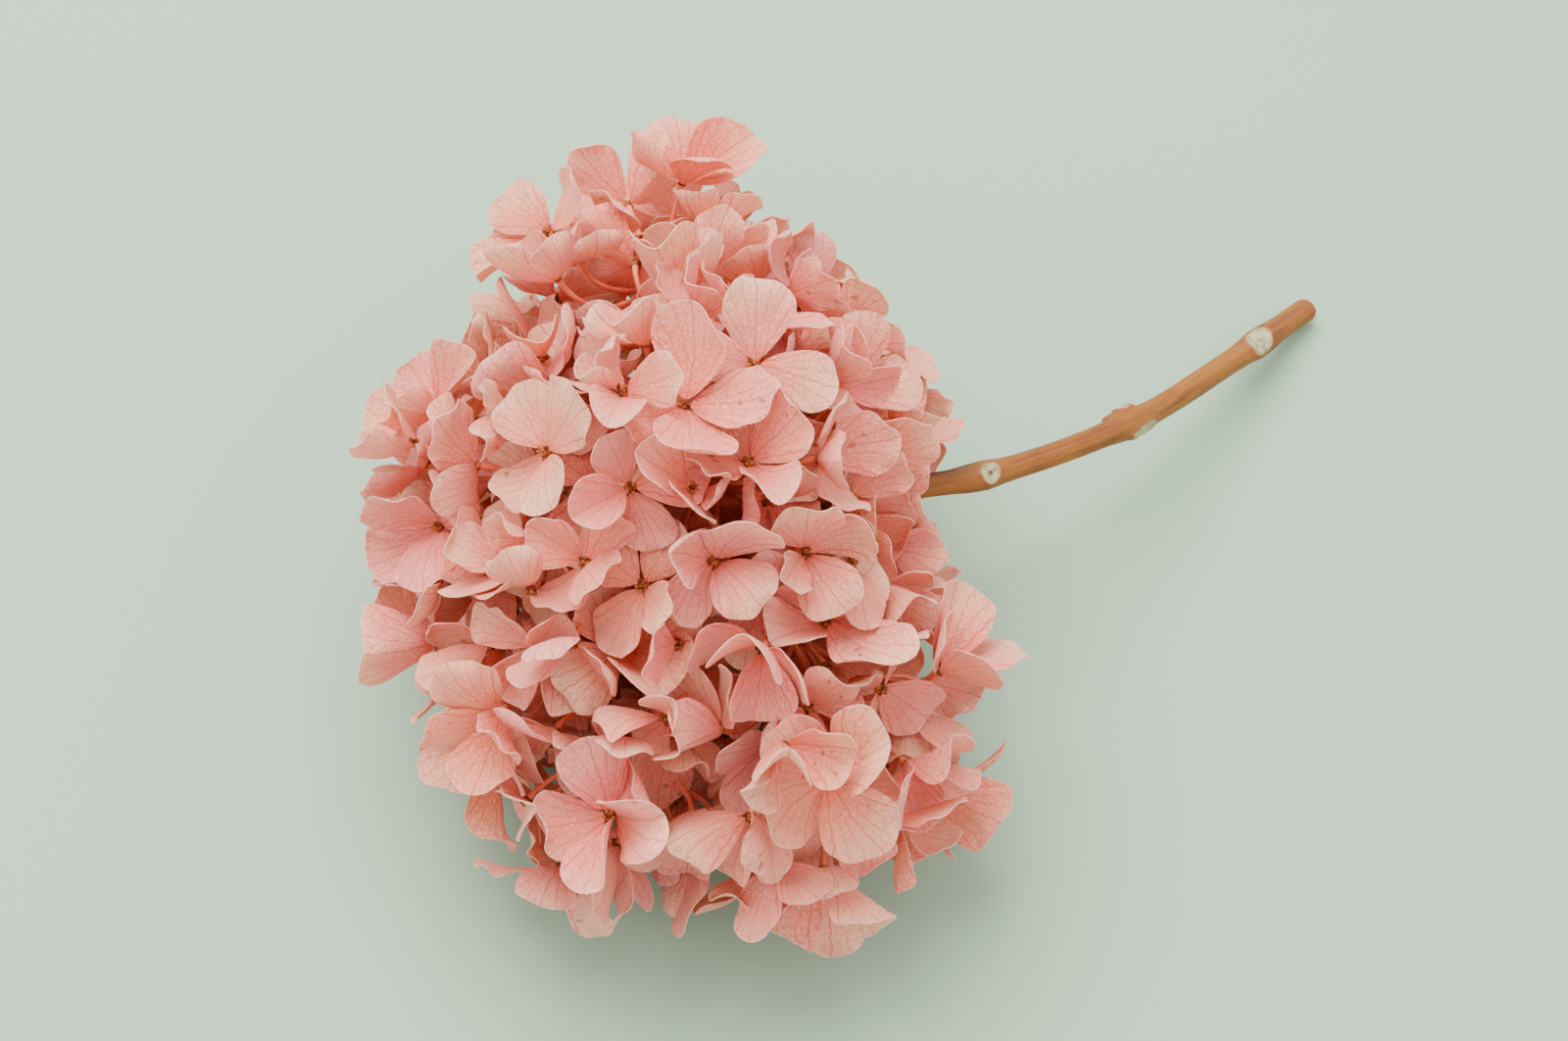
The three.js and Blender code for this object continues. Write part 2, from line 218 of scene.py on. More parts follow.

# %% [markdown]
# ## The sepals' finish
#
# A dried sepal is thin as paper. It is salmon pink, paler towards its rim, coral red where it narrows to
# its button, and darker pink veins fan out from there and branch. A few have brown specks. Light passes
# through it, so the shader has a little subsurface scattering. The veins follow the sepal, so they read
# its own UV map, in which one unit is the sepal's length and (0, 0) its narrow end. A thin pale line along
# the very rim is a painted highlight.


# %% Veins
def vein_lines(finish, across, along, spacing, width):
    """Lines that fan out from the sepal's narrow end, spacing in radians and width in sepal lengths."""
    behind = finish.math("ADD", along, 0.1)
    angle = finish.math("ARCTAN2", across, behind)
    wide = finish.math("MULTIPLY", angle, finish.math("ADD", finish.math("MULTIPLY", along, -0.25), 1.0))
    cell = finish.math("FRACT", finish.math("ADD", finish.math("DIVIDE", wide, spacing), 0.5))
    off = finish.math("ABSOLUTE", finish.math("SUBTRACT", cell, 0.5))
    reach = finish.math("MULTIPLY", finish.math("MULTIPLY", off, spacing), behind)
    return finish.inverse(finish.step(reach, width * 0.3, width))


def vein_net(finish, warped, scale, width):
    """The fine net between the main veins."""
    edge = finish.node("TexVoronoi", {"Vector": warped, "Scale": scale}, feature="DISTANCE_TO_EDGE")
    return finish.inverse(finish.step(edge, 0.0, width))


def sepal_veins(finish, warped, along_sepal):
    """The main veins, the side veins that start farther out, and the net between them."""
    split = finish.tree.nodes.new("ShaderNodeSeparateXYZ")
    finish.feed(split.inputs[0], warped)
    across, along = split.outputs[0], split.outputs[1]
    main = vein_lines(finish, across, along, spacing=0.42, width=0.0085)
    side = vein_lines(finish, across, along, spacing=0.14, width=0.0062)
    side = finish.math("MULTIPLY", side, finish.step(along_sepal, 0.15, 0.5))
    fan = finish.math("MAXIMUM", main, finish.math("MULTIPLY", side, 0.7))
    net = finish.math("MULTIPLY", vein_net(finish, warped, 15.0, 0.05), 0.5)
    return finish.math("MAXIMUM", fan, net)


# %% Specks
def sepal_specks(finish, place, wander):
    """Small uneven specks, in a few places only."""
    push = finish.node("VectorMath", {0: wander, 3: 0.004}, operation="SCALE")
    wobbly = finish.node("VectorMath", {0: place, 1: push}, operation="ADD")
    speck = finish.node("TexVoronoi", {"Vector": wobbly, "Scale": 330.0}, feature="F1")
    rare = finish.step(finish.noise(place, 55.0, detail=0.0), 0.64, 0.72)
    return finish.math("MULTIPLY", finish.inverse(finish.step(speck, 0.08, 0.28)), rare)


# %% Sepal finish
def make_sepal_finish():
    finish = Finish("sepal")
    flat = finish.node("UVMap", uv_map="sepal")
    wander = finish.node("TexNoise", {"Vector": flat, "Scale": 5.0, "Detail": 2.0}, output="Color")
    shift = finish.node("VectorMath", {0: wander, 1: (0.5, 0.5, 0.5)}, operation="SUBTRACT")
    push = finish.node("VectorMath", {0: shift, 3: 0.09}, operation="SCALE")
    warped = finish.node("VectorMath", {0: flat, 1: push}, operation="ADD")
    along_sepal = finish.attribute("along")
    veins = sepal_veins(finish, warped, along_sepal)

    place = finish.place()
    age = finish.attribute("age")
    patches = finish.noise(place, 75.0, detail=3.0)
    mottle = finish.noise(flat, 34.0, detail=4.0)
    grain = finish.noise(warped, 52.0, detail=4.0)
    stretched = finish.node("Mapping", {"Vector": warped, "Scale": (60.0, 9.0, 1.0)})
    creases = finish.noise(stretched, 1.0, detail=3.0)

    pink = finish.blend(finish.attribute("tint"), linear(255, 119, 116), linear(255, 126, 92))
    cream = finish.blend(age, linear(255, 170, 155), linear(255, 173, 141))
    outer = finish.step(finish.math("ADD", along_sepal, patches), 0.85, 1.5)
    pale_share = finish.math("MULTIPLY", outer, finish.math("ADD", finish.math("MULTIPLY", age, 0.5), 0.3))
    pale_share = finish.math("ADD", pale_share, finish.math("MULTIPLY", age, 0.22))
    colour = finish.blend(pale_share, pink, cream)
    colour = finish.stain(colour, finish.step(mottle, 0.45, 0.75), 0.6, (244, 92, 80))
    colour = finish.stain(colour, finish.step(grain, 0.48, 0.66), 0.45, (255, 188, 168))
    claw = finish.inverse(finish.step(along_sepal, 0.02, 0.32))
    colour = finish.stain(colour, claw, 0.7, (236, 90, 66))
    colour = finish.stain(colour, veins, 0.62, (224, 68, 60))
    # A thin pale line along the very rim of each sepal is a painted highlight: light caught by the rim,
    # painted into the colour.
    painted_rim_highlight = finish.step(finish.attribute("edge"), 0.965, 1.0)
    colour = finish.stain(colour, painted_rim_highlight, 0.2, (255, 206, 184))
    colour = finish.stain(colour, sepal_specks(finish, place, wander), 0.75, (132, 70, 40))

    relief = finish.math("MULTIPLY", veins, 0.7)
    for part, share in ((mottle, 0.5), (creases, 0.9), (grain, 0.5)):
        relief = finish.math("ADD", relief, finish.math("MULTIPLY", part, share))
    finish.bump(relief, strength=0.9, distance=0.0005)
    finish.set(Base_Color=colour, Roughness=finish.math("ADD", finish.math("MULTIPLY", mottle, 0.2), 0.5))
    finish.set(Specular_IOR_Level=0.28, Sheen_Weight=0.12, Sheen_Roughness=0.4)
    finish.set(Subsurface_Weight=0.4, Subsurface_Radius=(1.0, 0.5, 0.4), Subsurface_Scale=0.002)
    return finish.material


sepal_finish = make_sepal_finish()
print("sepal finish has", len(sepal_finish.node_tree.nodes), "nodes")

# %% [markdown]
# ## The finishes of the buttons and the stalks
#
# The button in a floret's middle has dried to brown. The pedicels and rays are reddish pink stalks. The
# stem's bark is golden brown with fine grain along it, a reddish groove and pale leaf scars. Its grain
# follows the stem, so the bark's finish comes with the stem, which tells it where every corner would be
# if the stem were straight.


# %% Button and stalk finishes
def make_button_finish():
    finish = Finish("button")
    place = finish.place()
    patches = finish.noise(place, 900.0, detail=3.0)
    colour = finish.blend(finish.step(patches, 0.35, 0.65), linear(84, 34, 14), linear(172, 92, 44))
    finish.bump(patches, strength=0.6, distance=0.0003)
    finish.set(Base_Color=colour, Roughness=0.75, Specular_IOR_Level=0.2)
    return finish.material


def make_stalk_finish():
    finish = Finish("stalk")
    place = finish.place()
    patches = finish.noise(place, 160.0, detail=3.0)
    fine = finish.noise(place, 1400.0, detail=2.0)
    colour = finish.blend(finish.step(patches, 0.35, 0.7), linear(206, 84, 58), linear(228, 124, 88))
    colour = finish.stain(colour, finish.step(fine, 0.5, 0.8), 0.4, (146, 44, 30))
    finish.bump(fine, strength=0.3, distance=0.0002)
    finish.set(Base_Color=colour, Roughness=0.6)
    finish.set(Subsurface_Weight=0.2, Subsurface_Radius=(1.0, 0.35, 0.2), Subsurface_Scale=0.001)
    return finish.material


button_finish = make_button_finish()
stalk_finish = make_stalk_finish()
print("button and stalk finishes made")

# %% [markdown]
# ## Reading the frame
#
# The CAD florets are plain, but they say where everything is. Each one is a single solid, so its parts
# are found from its corners: the button is where the corners crowd, the foot of the pedicel is the corner
# nearest to a ray, and the sepals' tips are the far corners on four sides.


# %% Corners of a CAD node
def corners(node):
    """The different corners of a CAD node, as rows of x, y, z in metres."""
    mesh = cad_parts[node].data
    places = np.empty(len(mesh.vertices) * 3)
    mesh.vertices.foreach_get("co", places)
    return np.unique(places.reshape(-1, 3).round(5), axis=0)


FLORET_NODES = sorted(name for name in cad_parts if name.startswith("floret_"))
RAY_NODES = sorted(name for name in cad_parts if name.startswith("ray_"))
RAY_SIDES = 6
STEM_SIDES = 10


def limb_line(node, sides, start):
    """The middle line of a CAD limb, from the end near start: the means of its rings of corners."""
    points = corners(node)
    points = points[np.argsort(np.linalg.norm(points - start, axis=1))]
    ends = sides + 1  # a ring and the middle of its cap
    between = np.split(points[ends:-ends], (len(points) - 2 * ends) // sides)
    rings = [points[:ends], *between, points[-ends:]]
    return [Vector(ring.mean(axis=0)) for ring in rings]


head_guess = np.mean([corners(name).mean(axis=0) for name in RAY_NODES], axis=0)
stem_points = corners("stem")
stem_start = stem_points[np.argmin(np.linalg.norm(stem_points - head_guess, axis=1))]
stem_line = limb_line("stem", STEM_SIDES, stem_start)
ray_lines = {name: limb_line(name, RAY_SIDES, np.array(stem_line[0])) for name in RAY_NODES}
print("stem line of", len(stem_line), "points;", len(ray_lines), "rays")


# %% A floret's button and facing
CROWD = 3 * MM  # corners nearer than this to each other are one crowd
BUTTON_REACH = 3.2 * MM
BUTTON_ROUNDS = 12
STALK_CONE = 0.75  # the cosine of half the cone round a pedicel
SEPAL_START = 6 * MM


def read_floret(node):
    """Where a CAD floret's button, pedicel foot and outer corners are, and which way it faces."""
    points = corners(node)
    ray_points = np.array([point for line in ray_lines.values() for point in line])
    to_rays = np.linalg.norm(points[:, None] - ray_points[None], axis=2).min(axis=1)
    foot = points[to_rays.argmin()]
    crowd = (np.linalg.norm(points[:, None] - points[None], axis=2) < CROWD).sum(axis=1)
    button = points[crowd.argmax()]
    for _ in range(BUTTON_ROUNDS):
        button = points[np.linalg.norm(points - button, axis=1) < BUTTON_REACH].mean(axis=0)
    outward = (button - foot) / np.linalg.norm(button - foot)
    offsets = points - button
    distances = np.linalg.norm(offsets, axis=1)
    on_stalk = offsets @ -outward > STALK_CONE * distances
    far = offsets[(distances > SEPAL_START) & ~on_stalk]
    facing = np.linalg.svd(far, full_matrices=False)[2][2]
    facing *= np.sign(facing @ outward)
    return {"node": node, "button": button, "foot": foot, "facing": facing, "far": far}


# %% A floret's sepal tips
SLANTED = (0.0, 0.6, 0.8)  # a direction that no floret of the frame faces exactly
SECTOR = 0.6  # how far a sepal reaches to each side of its middle, in radians
LEAST_SPAN = 5 * MM
AT_TIP = 0.9  # the share of a sepal's reach past which a corner is part of its tip
SHORT_TIP = 8 * MM


def sepal_tips(floret):
    """The four sepal tips of a CAD floret, as offsets from its button in turn round it."""
    facing, far = floret["facing"], floret["far"]
    first = np.cross(facing, SLANTED)
    first /= np.linalg.norm(first)
    second = np.cross(facing, first)
    angles = np.arctan2(far @ second, far @ first)
    spans = np.hypot(far @ second, far @ first)
    turn = np.angle((spans**2 * np.exp(4j * angles)).sum()) / 4
    tips = []
    for quarter in range(4):
        middle_angle = turn + quarter * math.pi / 2
        gap = np.abs(np.angle(np.exp(1j * (angles - middle_angle))))
        mine = far[(gap < SECTOR) & (spans > LEAST_SPAN)]
        if len(mine):
            farthest = np.linalg.norm(mine, axis=1)
            tips.append(mine[farthest > AT_TIP * farthest.max()].mean(axis=0))
        else:
            way = math.cos(middle_angle) * first + math.sin(middle_angle) * second
            tips.append(SHORT_TIP * way)
    return tips


florets = [read_floret(node) for node in FLORET_NODES]
for floret in florets:
    floret["tips"] = sepal_tips(floret)
lengths = [np.linalg.norm(tip) / MM for floret in florets for tip in floret["tips"]]
print(len(florets), "florets read; their sepals reach", round(min(lengths)), "to", round(max(lengths)), "mm")

# %% [markdown]
# ## A sepal
#
# A sepal starts as a flat grid, which is pushed into a disc and then into the rounded, narrow-based
# outline of a hydrangea sepal. Drawing the outline and filling it would give long thin faces that can't
# bend, while the grid keeps even faces. The flat shape is kept as the UV map, and the sheet is then bent
# along its length, curved across and ruffled at its rim. Solidify gives it its thickness at the end.

# %% The flat grid, once
SEPAL_THICKNESS = 0.18 * MM
GRID_ACROSS = 16
GRID_ALONG = 18


def flat_disc():
    """The grid's corners pushed into a disc of radius 1, and its faces, as create_grid makes them."""
    sheet = bmesh.new()
    bmesh.ops.create_grid(sheet, x_segments=GRID_ACROSS, y_segments=GRID_ALONG, size=1.0)
    square = np.array([vert.co[:2] for vert in sheet.verts])
    faces = [[vert.index for vert in face.verts] for face in sheet.faces]
    sheet.free()
    x, y = square[:, 0], square[:, 1]
    return np.stack([x * np.sqrt(1 - y * y / 2), y * np.sqrt(1 - x * x / 2)], axis=1), faces


DISC, GRID_FACES = flat_disc()
print("a sepal has", len(DISC), "corners and", len(GRID_FACES), "faces on each side")

# %% How a sepal curls
CURLS = {  # how a kind of sepal bends along its length and across it, in radians, and its middle crease
    "spread": {"bend": (-0.5, 0.4), "across": (-0.6, 0.7), "crease": (0.0, 0.14)},
    "cupped": {"bend": (0.5, 1.2), "across": (0.5, 1.5), "crease": (0.0, 0.16)},
    "drooping": {"bend": (-1.5, -0.6), "across": (-1.3, -0.3), "crease": (-0.12, 0.1)},
    "folded": {"bend": (-0.5, 0.6), "across": (1.2, 2.2), "crease": (0.35, 0.8)},
    "rolled": {"bend": (1.1, 2.1), "across": (-0.4, 0.7), "crease": (-0.1, 0.2)},
}
KINDS = ["spread"] * 5 + ["cupped"] * 6 + ["drooping"] * 4 + ["folded"] * 6 + ["rolled"] * 4
draw = random_source.uniform


def choose_curl(kind):
    curl = {name: draw(*limits) for name, limits in CURLS[kind].items()}
    curl["tip_curl"] = draw(-0.9, 0.9)
    curl["ruffle"] = draw(0.2, 1.0) * MM
    curl["ruffle_turns"] = draw(4, 7)
    curl["rim_curl"] = draw(-1.2, 1.8) * MM
    curl["twist"] = draw(-0.5, 0.5)
    curl["phases"] = [draw(0, 2 * math.pi) for _ in range(8)]
    curl["waves"] = [(draw(250, 700), draw(-600, 600), draw(0.3, 1)) for _ in range(3)]
    return curl


# %% Shape one sepal
CLAW_WIDTH, TIP_WIDTH, SHOULDER = 0.32, 0.8, 0.65  # narrow at the button, and soon broad
# how many waves go round the rim, and the size of each
RIM_WAVES = ((2, 0.035), (3, 0.03), (5, 0.014), (9, 0.006))


def flat_sepal(length, width, curl):
    """The flat outline: x across, y along from the narrow end, and each corner's share along and out."""
    share = (DISC[:, 1] + 1) / 2
    out = np.hypot(DISC[:, 0], DISC[:, 1])
    angle = np.arctan2(DISC[:, 0], DISC[:, 1])
    waves = sum(size * np.sin(turns * angle + phase)
                for (turns, size), phase in zip(RIM_WAVES, curl["phases"]))
    wobble = 1 + out**2 * waves
    taper = CLAW_WIDTH + TIP_WIDTH * share**SHOULDER
    x = DISC[:, 0] * width / 2 * taper * wobble
    y = share * length * (1 + (wobble - 1) * share)
    return x, y, share, out, angle


# %% Bend it
BEND_STEPS = 60
PAST_TIP = 1.15  # a waved rim reaches a little past the sepal's length
TIP_START = 0.6
TIP_SCALE = 0.16  # the square of what is left past TIP_START


def bend_along(x, y, height, length, curl):
    """Bends a sheet along its length into a growing arc, with its chord along +Y."""
    steps = np.linspace(0, PAST_TIP, BEND_STEPS)
    slope = curl["bend"] * steps + curl["tip_curl"] * np.clip(steps - TIP_START, 0, None) ** 2 / TIP_SCALE
    run = np.concatenate([[0], np.cumsum(np.cos(slope))[:-1]]) * steps[1] * length
    rise = np.concatenate([[0], np.cumsum(np.sin(slope))[:-1]]) * steps[1] * length
    along, up, tilt = (np.interp(y / length, steps, values) for values in (run, rise, slope))
    bent = np.stack([x, along - height * np.sin(tilt), up + height * np.cos(tilt)], axis=1)
    chord = math.atan2(np.interp(1, steps, rise), np.interp(1, steps, run))
    return bent @ np.array(Matrix.Rotation(chord, 3, "X"))


# %% Curve, crease and ruffle it
CRINKLE = 0.2 * MM
CREASE_ROUND = 0.8 * MM  # how wide the bottom of a crease is
FLATTEST = 0.1


def shape_sepal(length, width, curl):
    """A bent sepal in its own frame, its shares along and out, and its flat places for the UV map."""
    x, y, share, out, angle = flat_sepal(length, width, curl)
    crinkle = sum(size * np.sin(x * a + y * b + phase)
                  for (a, b, size), phase in zip(curl["waves"], curl["phases"][4:]))
    height = CRINKLE * crinkle * share
    height += curl["crease"] * (np.sqrt(x * x + CREASE_ROUND**2) - CREASE_ROUND)
    height += curl["ruffle"] * out**4 * np.sin(curl["ruffle_turns"] * angle + curl["phases"][7]) * share
    uneven = 0.6 + 0.4 * np.sin(2 * angle + curl["phases"][6])
    height += curl["rim_curl"] * out**6 * share * uneven
    flat = np.stack([x, y], axis=1) / length
    curve = curl["across"] * (0.35 + 0.65 * share) / width
    curve = np.where(np.abs(curve) < FLATTEST, FLATTEST, curve)
    height += (1 - np.cos(x * curve)) / curve
    return bend_along(np.sin(x * curve) / curve, y, height, length, curl), share, out, flat


# %% Place one sepal
TABLE_GAP = 0.4 * MM
TABLE_BEND = 5 * MM


def lie_on_table(places):
    """Bends what would go through the table along it instead."""
    low = np.minimum(places[:, 2] - TABLE_BEND, 0)
    lying = TABLE_GAP + (TABLE_BEND - TABLE_GAP) * np.exp(low / TABLE_BEND)
    places[:, 2] = np.where(low < 0, lying, places[:, 2])
    return places


def place_sepal(sepal):
    """The places of a sepal's corners, and its shares along and out and its flat places."""
    way = sepal["way"].normalized()
    over = (sepal["over"] - way * sepal["over"].dot(way)).normalized()
    over = Quaternion(way, sepal["curl"]["twist"]) @ over
    turn = np.array([way.cross(over), way, over])
    places, share, out, flat = shape_sepal(sepal["length"], sepal["width"], sepal["curl"])
    return lie_on_table(places @ turn + np.array(sepal["base"])), share, out, flat


# %% [markdown]
# ## Room for every sepal
#
# In the real head the sepals have pushed each other aside while they grew, so none passes through
# another. Placing them by hand would take days, and a cloth simulation of so many sheets takes long and
# tangles. So each sepal is tried in several curls and swings, and the one that crosses the sheets
# already placed the least is kept.

# %% Crossing sheets
placed_sheets = []
TRIES = 14
SHRINKING = 0.3  # how much smaller the last try is
FEW_CROSSINGS = 2
BOX_SLACK = 1.5 * MM
SWING = math.radians(12)
LENGTHS = (0.92, 1.06)  # shares of the length asked for
WIDTHS = (0.86, 1.12)  # shares of the sepal's own length


def sheet_tree(places):
    return BVHTree.FromPolygons(places.tolist(), GRID_FACES)


def crossings(places, tree):
    """How many faces of a sheet pass through sheets that are already placed."""
    centre = places.mean(axis=0)
    reach = np.linalg.norm(places - centre, axis=1).max()
    near = (other for other in placed_sheets
            if np.linalg.norm(other["centre"] - centre) < reach + other["reach"])
    return sum(len(tree.overlap(other["tree"])) for other in near)


def swing(direction, most):
    """A direction turned by a random small angle."""
    axis = Vector((draw(-1, 1), draw(-1, 1), draw(-1, 1))).normalized()
    return Quaternion(axis, draw(-most, most)) @ direction


def outside(places):
    """How many corners of a sheet are past the sides or the top of the CAD box."""
    low, high = np.array(CAD_BOX[0]) - BOX_SLACK, np.array(CAD_BOX[1]) + BOX_SLACK
    return int(((places < low) | (places > high)).any(axis=1).sum())


def settle_sepal(base, tip, over, length, most):
    """The sepal from a base towards a tip that crosses its neighbours the least, or None past the most."""
    best = None
    for attempt in range(TRIES):
        tired = attempt / TRIES
        loose = SWING * (1 + tired)
        size = length * draw(*LENGTHS) * (1 - SHRINKING * tired)
        sepal = {"base": base, "way": swing(tip - base, loose), "over": swing(over, 2 * loose),
                 "length": size, "width": size * draw(*WIDTHS),
                 "curl": choose_curl(random_source.choice(KINDS))}
        places = place_sepal(sepal)[0]
        tree = sheet_tree(places)
        count = crossings(places, tree) + outside(places)
        if best is None or count < best["count"]:
            best = {**sepal, "count": count, "tree": tree, "places": places}
        if count <= FEW_CROSSINGS:
            break
    if best["count"] > most:
        return None
    centre = best["places"].mean(axis=0)
    reach = np.linalg.norm(best["places"] - centre, axis=1).max()
    placed_sheets.append({"tree": best["tree"], "centre": centre, "reach": reach})
    return best


# %% Sepals of the florets in the frame
BUTTON_RIM = 1.1 * MM
PAIR_LIFT = 0.5 * MM
CLOSED = (-0.15, 0.7)  # how far a floret's tips lean over its button, as a share of their length
LEAN = 0.35
FRONT_LEAN = 0.3
OUTER_LENGTHS = (12 * MM, 20 * MM)


def settle_floret(floret, shortest, longest, most=math.inf):
    """Chooses the sepals of a floret, opposite ones first. Where there is no room, one is missing."""
    button, facing = Vector(floret["button"]), Vector(floret["facing"])
    floret["sepals"] = []
    floret["tint"] = draw(0, 1)
    closed = draw(*CLOSED)
    for number in (0, 2, 1, 3):
        tip = Vector(floret["tips"][number])
        level = (tip - facing * tip.dot(facing)).normalized()
        base = button + level * BUTTON_RIM + facing * PAIR_LIFT * (number % 2)
        lifted = tip + facing * tip.length * (closed + draw(-LEAN, LEAN)) * floret.get("free", 1)
        length = 0.5 * tip.length + 0.5 * draw(shortest, longest)
        sepal = settle_sepal(base, button + lifted, facing, length, most)
        if sepal:
            floret["sepals"].append(sepal)
    return floret


FRONT = 3  # the first florets of the frame lie open in front, and lean less
for number, floret in enumerate(florets):
    floret["free"] = FRONT_LEAN if number < FRONT else 1
    settle_floret(floret, *OUTER_LENGTHS)
crossed = sum(sepal["count"] for floret in florets for sepal in floret["sepals"])
print(4 * len(florets), "sepals settled; crossing faces:", crossed)

# %% [markdown]
# ## The florets behind
#
# Between the fifty-one florets of the frame you would see straight through the head. The real head has
# more florets, set deeper, that fill it. They grow here from the same rays, in one layer between and
# under the florets of the frame and in one well inside. Directions are spread evenly round the head, and
# each time the place is taken that is farthest from every floret so far.

# %% Where the inner florets go
LAYERS = ((132, -4 * MM, 7 * MM), (50, 14 * MM, 26 * MM))  # how many florets, between which depths
LOOK_ROUND = 900  # how many directions are looked at
GOLDEN_TURN = math.pi * (3 - math.sqrt(5))
NEARBY = 0.03  # how soon a floret counts less with the angle to it
LEAST_WEIGHT = 0.05
ABOVE_TABLE = 6 * MM
buttons = np.array([floret["button"] for floret in florets])
heart = (buttons.min(axis=0) + buttons.max(axis=0)) / 2
outward = buttons - heart
depths = np.linalg.norm(outward, axis=1)
outward /= depths[:, None]


def even_direction(number, total):
    """One of many directions that are spread evenly over a ball."""
    z = 1 - (2 * number + 1) / total
    turn = number * GOLDEN_TURN
    ring = math.sqrt(1 - z * z)
    return np.array([ring * math.cos(turn), ring * math.sin(turn), z])


def inner_places(shallow, deep):
    """Possible places for inner florets between two depths, with the direction outwards at each."""
    found = []
    for number in range(LOOK_ROUND):
        way = even_direction(number, LOOK_ROUND)
        weight = np.exp((outward @ way - 1) / NEARBY)
        depth = (weight * depths).sum() / weight.sum() - draw(shallow, deep)
        place = heart + way * depth
        if weight.sum() > LEAST_WEIGHT and place[2] > ABOVE_TABLE:
            found.append((place, way))
    return found


def spread_choice(found, count, taken):
    """The places that lie farthest from every floret so far, one after another."""
    chosen = []
    points = np.array([place for place, _ in found])
    gaps = np.linalg.norm(points[:, None] - taken[None], axis=2).min(axis=1)
    for _ in range(count):
        best = int(gaps.argmax())
        chosen.append(found[best])
        gaps = np.minimum(gaps, np.linalg.norm(points - points[best], axis=1))
    return chosen


inner_spots = []
for layer_count, shallow, deep in LAYERS:
    taken = np.vstack([buttons, *(place for place, _ in inner_spots)])
    inner_spots += spread_choice(inner_places(shallow, deep), layer_count, taken)
print(len(inner_spots), "inner florets to grow")


# %% Grow the inner florets
FACINGS_TRIED = 8
TILT = 0.8
LIFTS = (0.1, 0.5)
TRIAL_LENGTH = 15 * MM
TRIAL_WIDTH = 13 * MM
MOST_CROSSINGS = 16
INNER_LENGTHS = (13 * MM, 19 * MM)


def inner_floret(place, way):
    """A floret at a place, turned the way that crosses its neighbours the least."""
    best = None
    for _ in range(FACINGS_TRIED):
        facing = swing(Vector(way), TILT).normalized()
        first = facing.orthogonal().normalized()
        turn = Quaternion(facing, draw(0, math.pi / 2))
        lift = draw(*LIFTS)
        tips = []
        for quarter in range(4):
            level = turn @ Quaternion(facing, quarter * math.pi / 2) @ first
            tips.append((level * math.cos(lift) + facing * math.sin(lift)) * TRIAL_LENGTH)
        count = 0
        for tip in tips:
            sepal = {"base": Vector(place) + tip * 0.08, "way": tip, "over": facing,
                     "length": TRIAL_LENGTH, "width": TRIAL_WIDTH, "curl": choose_curl("spread")}
            places = place_sepal(sepal)[0]
            count += crossings(places, sheet_tree(places))
        if best is None or count < best["count"]:
            best = {"button": np.array(place), "facing": np.array(facing), "tips": tips, "count": count}
    return best


inner_florets = [settle_floret(inner_floret(*spot), *INNER_LENGTHS, MOST_CROSSINGS)
                 for spot in inner_spots]
crossed = sum(sepal["count"] for floret in inner_florets for sepal in floret["sepals"])
inner_count = sum(len(floret["sepals"]) for floret in inner_florets)
print(inner_count, "inner sepals settled; crossing faces:", crossed)

# %% [markdown]
# ## Building a floret's mesh
#
# Four sepals round a button, on a pedicel. The whole floret is one mesh with three finishes, because in
# the real flower it grew as one piece, and because one piece per floret keeps the model light. A sheet is
# made by create_grid and its corners go where the search put them; solidify then gives the paper its
# thickness. Stalks are circles extruded from point to point along a curve.

# %% Sheets of sepals
SEPAL, STALK, BUTTON = 0, 1, 2


def floret_mesh():
    """An empty mesh with the layers that the sepals' finish reads."""
    bm = bmesh.new()
    layers = {name: bm.verts.layers.float.new(name) for name in ("along", "edge", "tint", "age")}
    layers["uv"] = bm.loops.layers.uv.new("sepal")
    return bm, layers


def add_sepal(bm, layers, sepal, tint, age):
    """One sepal's sheet, with its flat shape in the UV map."""
    places, share, out, flat = place_sepal(sepal)
    flat = flat + np.array([draw(-0.02, 0.02), 0])
    verts = bmesh.ops.create_grid(bm, x_segments=GRID_ACROSS, y_segments=GRID_ALONG, size=1.0)["verts"]
    flat_of = {}
    for vert, place, s, o, uv in zip(verts, places, share, out, flat):
        vert.co = place
        vert[layers["along"]] = s
        vert[layers["edge"]] = o
        vert[layers["tint"]] = tint
        vert[layers["age"]] = age
        flat_of[vert] = uv
    for face in {face for vert in verts for face in vert.link_faces}:
        for loop in face.loops:
            loop[layers["uv"]].uv = flat_of[loop.vert]


CRISP_RIM = math.radians(50)


def thicken(bm):
    """Gives the sheets their thickness and keeps their rims crisp."""
    bmesh.ops.recalc_face_normals(bm, faces=bm.faces[:])
    bmesh.ops.solidify(bm, geom=bm.faces[:], thickness=SEPAL_THICKNESS)
    for face in bm.faces:
        face.smooth = True
        face.material_index = SEPAL
    for edge in bm.edges:
        edge.smooth = not (edge.is_manifold and edge.calc_face_angle() > CRISP_RIM)


# %% Limbs
def ring_places(line, radii, sides):
    """The corners of the rings round a line: for each point, sides corners at its radius."""
    way = (line[1] - line[0]).normalized()
    first = way.orthogonal().normalized()
    rings = []
    for i, point in enumerate(line):
        ahead = (line[min(i + 1, len(line) - 1)] - line[max(i - 1, 0)]).normalized()
        first = (way.rotation_difference(ahead) @ first).normalized()
        way = ahead
        turns = (Quaternion(way, 2 * math.pi * k / sides) for k in range(sides))
        rings.append([point + turn @ first * radii[i] for turn in turns])
    return rings


